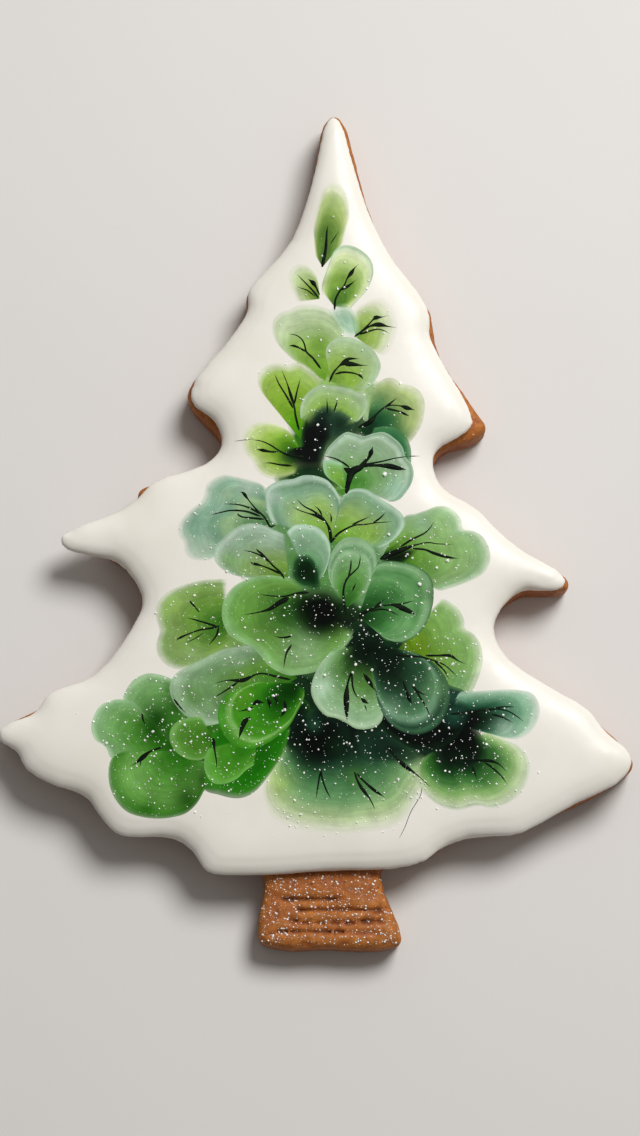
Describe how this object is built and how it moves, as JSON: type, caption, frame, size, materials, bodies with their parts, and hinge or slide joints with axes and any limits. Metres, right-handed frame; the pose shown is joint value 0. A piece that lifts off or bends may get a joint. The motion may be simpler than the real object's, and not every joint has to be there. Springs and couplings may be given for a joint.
{
  "type": "iced gingerbread cookie",
  "caption": "Flat gingerbread biscuit cut as a fir tree, flooded with thick white icing and painted with green leaves and dark twigs.",
  "frame": {"origin": "on the table under the middle of the biscuit's box", "axes": "+Y to the tree's tip, +Z out of the iced face, +X to the right as the iced face is seen"},
  "size_m": [0.1046, 0.1414, 0.0107],
  "materials": {
    "baked_dough": "matte baked gingerbread dough, browner at its edges, with a fine crumb",
    "royal_icing": "smooth warm white set icing with a satin gloss",
    "leaf_paint": "thin satin food colour in greens that run from dark to pale mint along each brush stroke",
    "twig_paint": "fine near-black food colour strokes with a satin gloss",
    "sugar": "fine sparkling white sugar grains"
  },
  "bodies": {
    "root": {"biscuit": "baked_dough", "white_icing": "royal_icing"}
  },
  "joints": []
}
